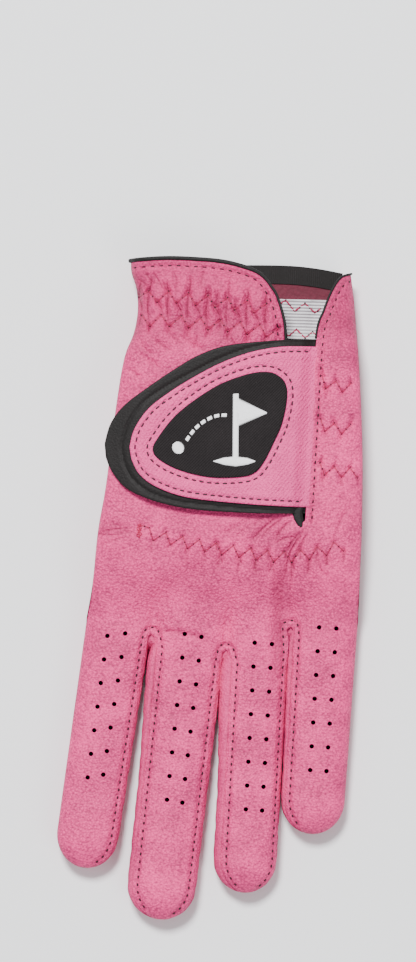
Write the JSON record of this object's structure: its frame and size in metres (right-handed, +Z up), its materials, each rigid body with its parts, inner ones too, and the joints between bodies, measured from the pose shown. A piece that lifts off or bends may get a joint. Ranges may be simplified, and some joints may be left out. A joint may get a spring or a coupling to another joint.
{
  "type": "golf glove",
  "caption": "Left-hand golf glove in pink leather with black trim, a wrist slit and a peel-open closure tab; fingers and thumb bend.",
  "frame": {"origin": "on the resting surface, under the middle of the glove's bounding box", "axes": "+X across the hand towards the little finger, +Y towards the cuff, +Z up out of the back of the hand"},
  "size_m": [0.0795, 0.1733, 0.0203],
  "materials": {
    "pink_leather": "soft matte cabretta leather, fine grain",
    "tab_leather": "matte leather with a fine embossed weave",
    "black_trim": "matte black binding tape",
    "black_badge": "matte black fabric",
    "white_elastic": "ribbed white elastic",
    "emblem_thread": "satin embroidery thread",
    "hook_and_loop": "black hook-and-loop tape"
  },
  "bodies": {
    "hand": {"back_panel": "pink_leather", "palm_panel": "pink_leather", "thumb_gusset": "pink_leather", "cuff_binding": "black_trim", "slit_piping": "black_trim", "palm_cuff_tape": "black_trim", "palm_elastic": "white_elastic", "cuff_elastic_upper": "white_elastic", "cuff_elastic_lower": "white_elastic", "knuckle_elastic": "white_elastic", "side_elastic_upper": "white_elastic", "side_elastic_middle": "white_elastic", "side_elastic_lower": "white_elastic", "loop_patch": "hook_and_loop"},
    "closure_tab": {"tab_base": "black_trim", "tab_face": "tab_leather", "tab_badge": "black_badge", "tab_emblem": "emblem_thread", "hook_patch": "hook_and_loop"},
    "index_finger": {"index_back": "pink_leather", "index_front": "pink_leather", "index_fourchette_inner": "pink_leather"},
    "middle_finger": {"middle_back": "pink_leather", "middle_front": "pink_leather", "middle_fourchette_inner": "pink_leather", "middle_fourchette_outer": "pink_leather"},
    "ring_finger": {"ring_back": "pink_leather", "ring_front": "pink_leather", "ring_fourchette_inner": "pink_leather", "ring_fourchette_outer": "pink_leather"},
    "pinky_finger": {"pinky_back": "pink_leather", "pinky_front": "pink_leather", "pinky_fourchette_outer": "pink_leather"},
    "thumb": {"thumb_back": "pink_leather", "thumb_front": "pink_leather"}
  },
  "joints": [
    {"name": "tab_peel", "type": "hinge", "parent": "hand", "child": "closure_tab", "pos_m": [0.0257, 0.0426, 0.01605], "axis": [0.0662, 0.9978, 0], "range_deg": [0, 145]},
    {"name": "index_bend", "type": "hinge", "parent": "hand", "child": "index_finger", "pos_m": [-0.02355, -0.00975, 0.01], "axis": [-0.9894, 0.1454, 0], "range_deg": [0, 55]},
    {"name": "middle_bend", "type": "hinge", "parent": "hand", "child": "middle_finger", "pos_m": [-0.0051, -0.0137, 0.01], "axis": [-0.9939, 0.1103, 0], "range_deg": [0, 55]},
    {"name": "ring_bend", "type": "hinge", "parent": "hand", "child": "ring_finger", "pos_m": [0.0127, -0.0154, 0.01], "axis": [-0.9984, 0.0559, 0], "range_deg": [0, 55]},
    {"name": "pinky_bend", "type": "hinge", "parent": "hand", "child": "pinky_finger", "pos_m": [0.0302, -0.0092, 0.01], "axis": [-0.9978, 0.0659, 0], "range_deg": [0, 55]},
    {"name": "thumb_swing", "type": "hinge", "parent": "hand", "child": "thumb", "pos_m": [-0.015, 0.047, 0.00355], "axis": [0, 0, -1], "range_deg": [0, 85]}
  ]
}
